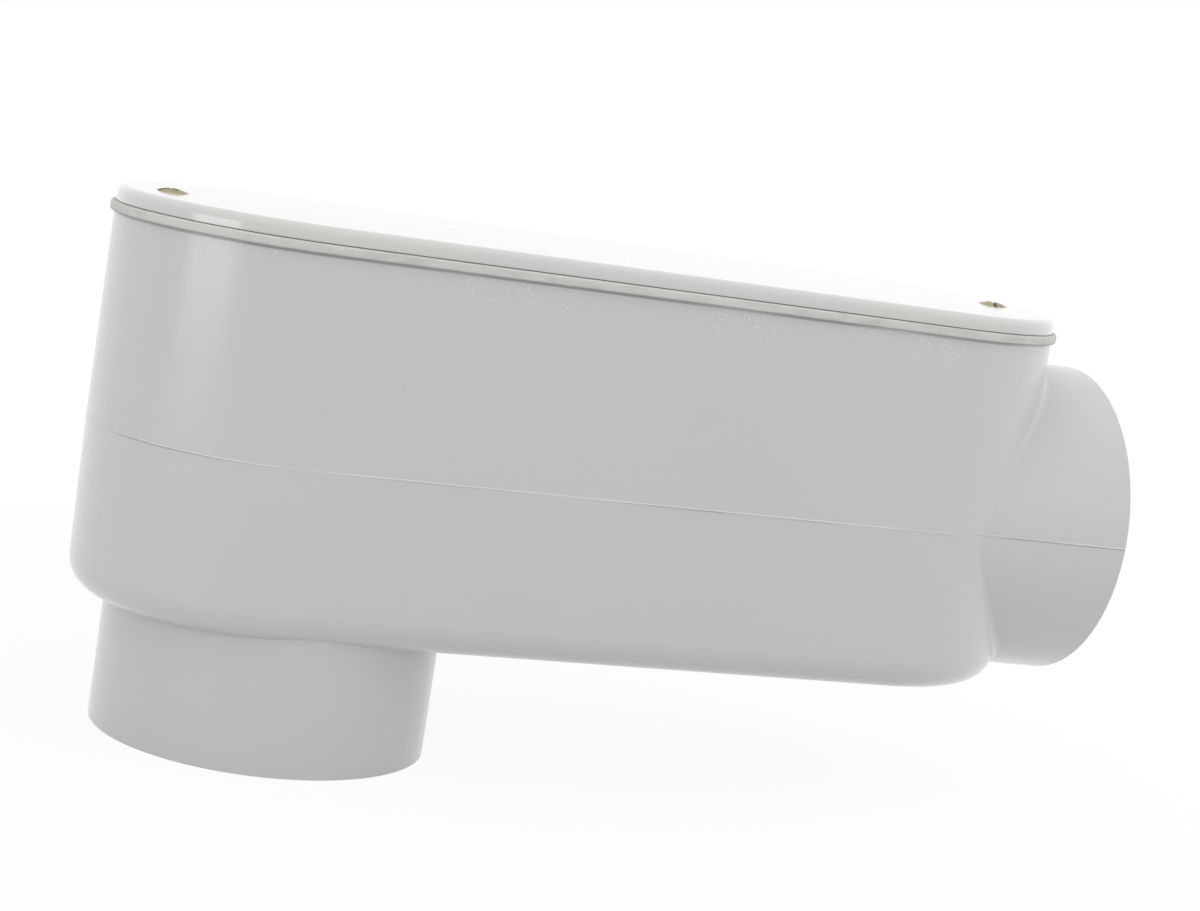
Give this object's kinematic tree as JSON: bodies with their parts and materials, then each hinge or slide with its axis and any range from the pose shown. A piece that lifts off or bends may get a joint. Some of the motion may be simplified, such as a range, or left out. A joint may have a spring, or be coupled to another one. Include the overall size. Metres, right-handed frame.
{
  "type": "conduit body",
  "caption": "Long round-ended plastic conduit body with a back hub and an end hub at right angles, a gasket and a flat screwed cover.",
  "frame": {"origin": "centre of the back hub's mouth, in the plane of its rim", "axes": "+Z from the back hub up to the cover, +X along the body towards the end hub, +Y across the body"},
  "size_m": [0.404, 0.1398, 0.1991],
  "materials": {
    "moulded_plastic": "satin moulded PVC, light grey",
    "cover_plastic": "satin moulded PVC, light grey",
    "foam_gasket": "matt closed-cell foam rubber, warm grey",
    "plated_steel": "zinc and yellow passivate plated steel"
  },
  "bodies": {
    "root": {"housing": "moulded_plastic", "gasket": "foam_gasket", "cover": "cover_plastic", "cover_screws": "plated_steel"}
  },
  "joints": []
}
